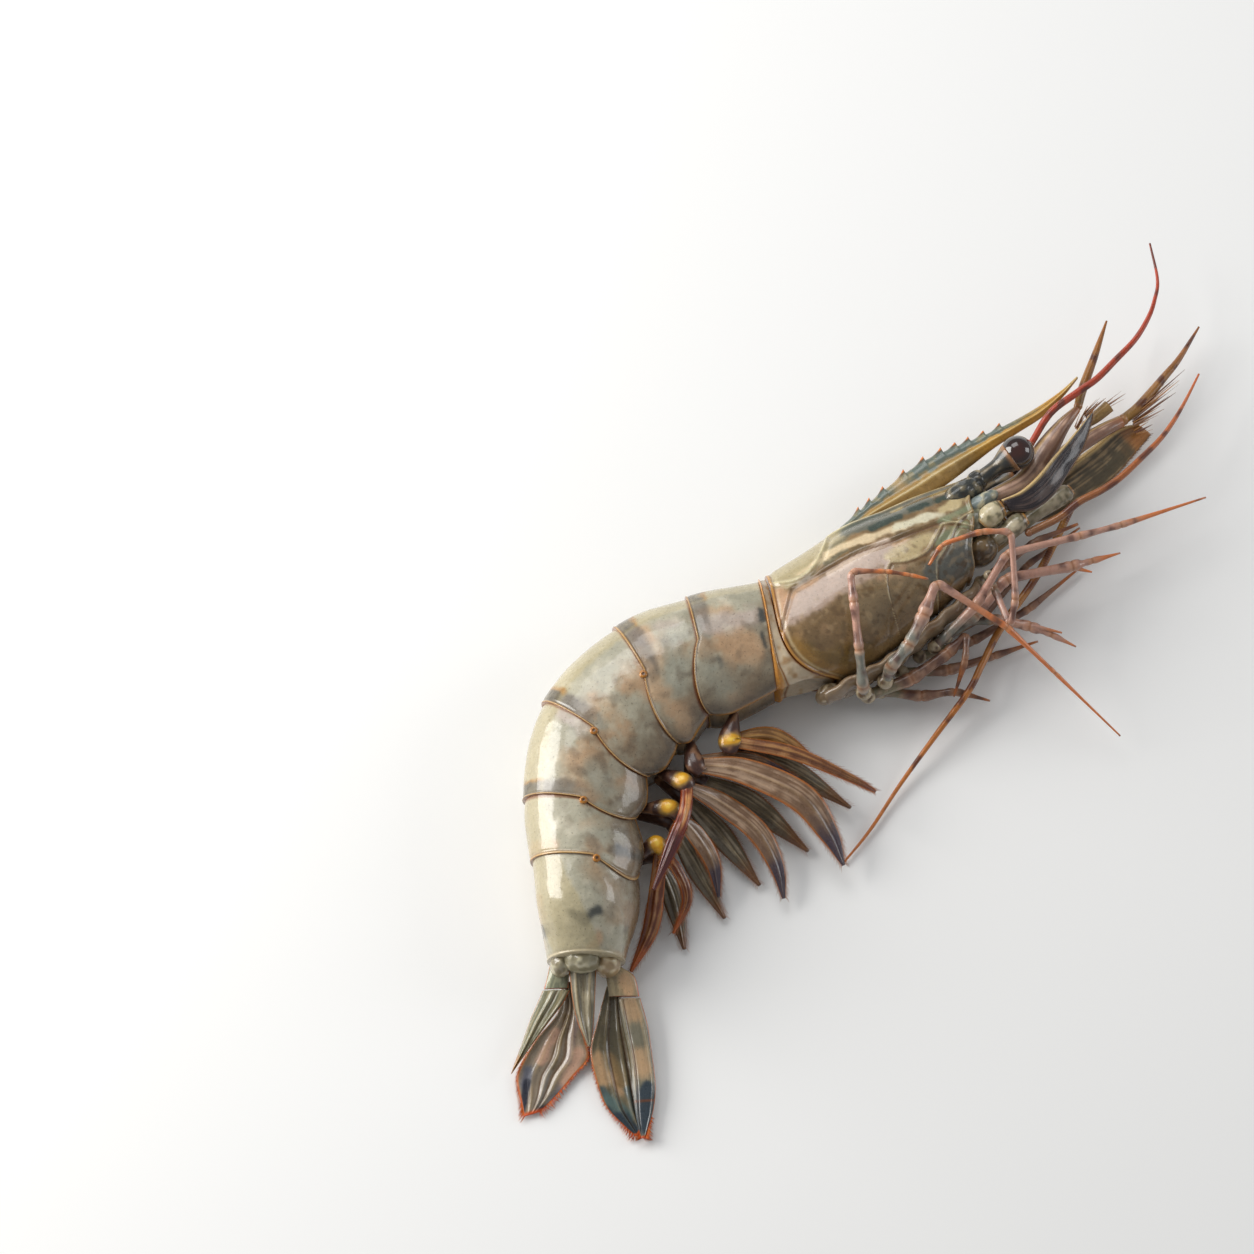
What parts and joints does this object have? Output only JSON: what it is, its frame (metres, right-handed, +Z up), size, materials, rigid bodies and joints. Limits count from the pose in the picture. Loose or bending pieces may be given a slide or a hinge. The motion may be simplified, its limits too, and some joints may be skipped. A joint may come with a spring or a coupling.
{
  "type": "raw tiger prawn",
  "caption": "Whole raw prawn lying on its side, curled in a C, with a toothed rostrum, ringed tail shell, walking legs, swimmerets, feelers and a flat tail fan.",
  "frame": {"origin": "centre of the footprint on the surface that the prawn lies on", "axes": "+Z up from the surface; +Y in plan towards the head, +X in plan towards the legs"},
  "size_m": [0.1648, 0.2198, 0.0297],
  "materials": {
    "shell": "glossy",
    "head_shell": "glossy",
    "flesh": "satin",
    "eye": "glossy",
    "limb": "glossy",
    "whip": "satin",
    "blade": "glossy",
    "swimmeret": "satin"
  },
  "bodies": {
    "root": {"carapace": "head_shell", "neck": "flesh", "sternum": "flesh", "abdomen_1": "shell", "abdomen_2": "shell", "abdomen_3": "shell", "abdomen_4": "shell", "abdomen_5": "shell", "abdomen_6": "shell", "eye_right": "eye", "eyestalk_right": "limb", "antennule_right": "limb", "antenna_right": "whip", "antenna_base_right": "flesh", "antenna_knob_right": "flesh", "antennal_scale_right": "blade", "jaw_foot_right": "limb", "leg_right_1": "limb", "swimmeret_right_1": "swimmeret", "leg_right_2": "limb", "swimmeret_right_2": "swimmeret", "leg_right_3": "limb", "swimmeret_right_3": "swimmeret", "leg_right_4": "limb", "swimmeret_right_4": "swimmeret", "leg_right_5": "limb", "swimmeret_right_5": "swimmeret", "fan_root_right": "blade", "fan_outer_right": "blade", "fan_inner_right": "blade", "eye_left": "eye", "eyestalk_left": "limb", "antennule_left": "limb", "antenna_left": "whip", "antenna_base_left": "flesh", "antenna_knob_left": "flesh", "antennal_scale_left": "blade", "jaw_foot_left": "limb", "leg_left_1": "limb", "swimmeret_left_1": "swimmeret", "leg_left_2": "limb", "swimmeret_left_2": "swimmeret", "leg_left_3": "limb", "swimmeret_left_3": "swimmeret", "leg_left_4": "limb", "swimmeret_left_4": "swimmeret", "leg_left_5": "limb", "swimmeret_left_5": "swimmeret", "fan_root_left": "blade", "fan_outer_left": "blade", "fan_inner_left": "blade", "telson": "blade", "flagellum_long_right": "whip", "flagellum_short_right": "whip", "flagellum_long_left": "whip", "flagellum_stub_left": "whip"}
  },
  "joints": []
}
